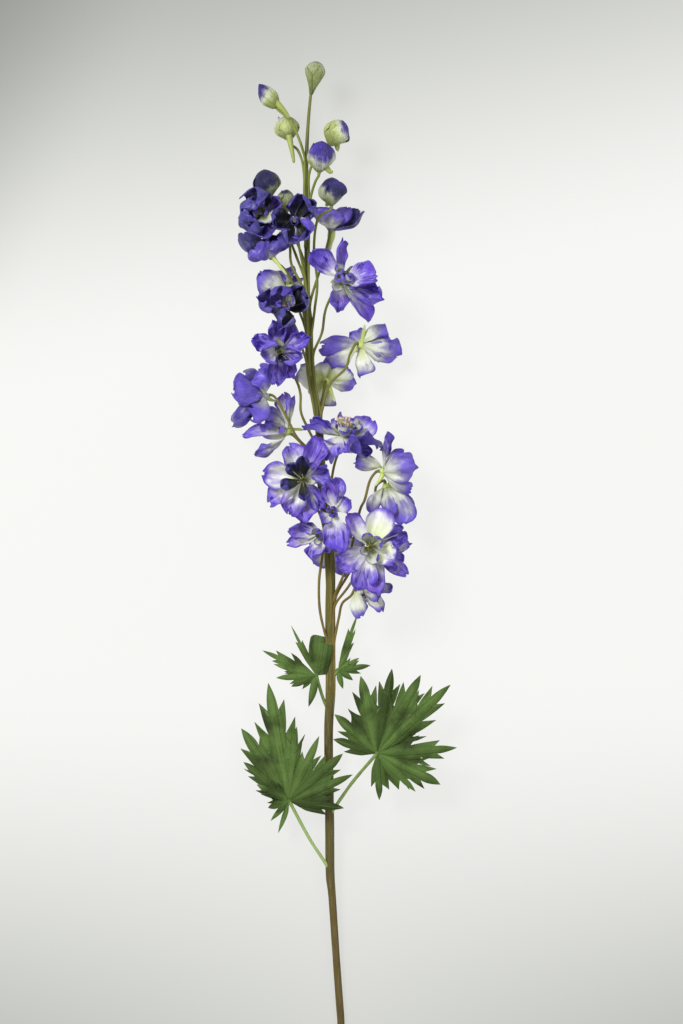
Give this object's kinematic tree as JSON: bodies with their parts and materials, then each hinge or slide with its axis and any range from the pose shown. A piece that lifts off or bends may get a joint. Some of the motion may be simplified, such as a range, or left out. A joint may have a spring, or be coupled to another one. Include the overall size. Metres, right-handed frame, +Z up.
{
  "type": "delphinium_spike",
  "caption": "Cut delphinium flower spike lying on its back: a bent stem with 21 violet-blue and white blooms, 8 buds and 4 lobed leaves",
  "frame": {"origin": "on the surface, in the middle of the flat under the cut end of the stem", "axes": "+Y along the stem from the cut end to the top bud, +Z up away from the surface, +X to the right with the open blooms facing the viewer"},
  "size_m": [0.1806, 0.8, 0.0766],
  "materials": {
    "stem": "satin olive green, browner towards the cut end",
    "petals": "matt, violet-blue with greenish-white throats and fine veins",
    "stamens": "matt cream green",
    "bud": "matt, green-white at the base and violet at the tip",
    "leaf": "matt mid green with paler ribs"
  },
  "bodies": {
    "root": {"stem": "stem", "bloom_a": "petals", "bloom_b": "petals", "bloom_c": "petals", "bloom_d": "petals", "bloom_e": "petals", "bloom_f": "petals", "bloom_g": "petals", "bloom_h": "petals", "bloom_i": "petals", "bloom_j": "petals", "bloom_k": "petals", "bloom_l": "petals", "bloom_m": "petals", "bloom_n": "petals", "bloom_o": "petals", "bloom_p1": "petals", "bloom_p2": "petals", "bloom_q": "petals", "bloom_r": "petals", "bloom_s": "petals", "bloom_t": "petals", "stamens_a": "stamens", "stamens_b": "stamens", "stamens_c": "stamens", "stamens_d": "stamens", "stamens_e": "stamens", "stamens_f": "stamens", "stamens_g": "stamens", "stamens_h": "stamens", "stamens_i": "stamens", "stamens_j": "stamens", "stamens_k": "stamens", "stamens_l": "stamens", "stamens_m": "stamens", "stamens_n": "stamens", "stamens_o": "stamens", "stamens_p1": "stamens", "stamens_p2": "stamens", "stamens_q": "stamens", "stamens_r": "stamens", "stamens_s": "stamens", "stamens_t": "stamens", "bud_1": "bud", "bud_2": "bud", "bud_3": "bud", "bud_4": "bud", "bud_5": "bud", "bud_6": "bud", "bud_7": "bud", "bud_8": "bud", "leaf_left": "leaf", "leaf_right": "leaf", "leaf_small_left": "leaf", "leaf_small_right": "leaf"}
  },
  "joints": []
}
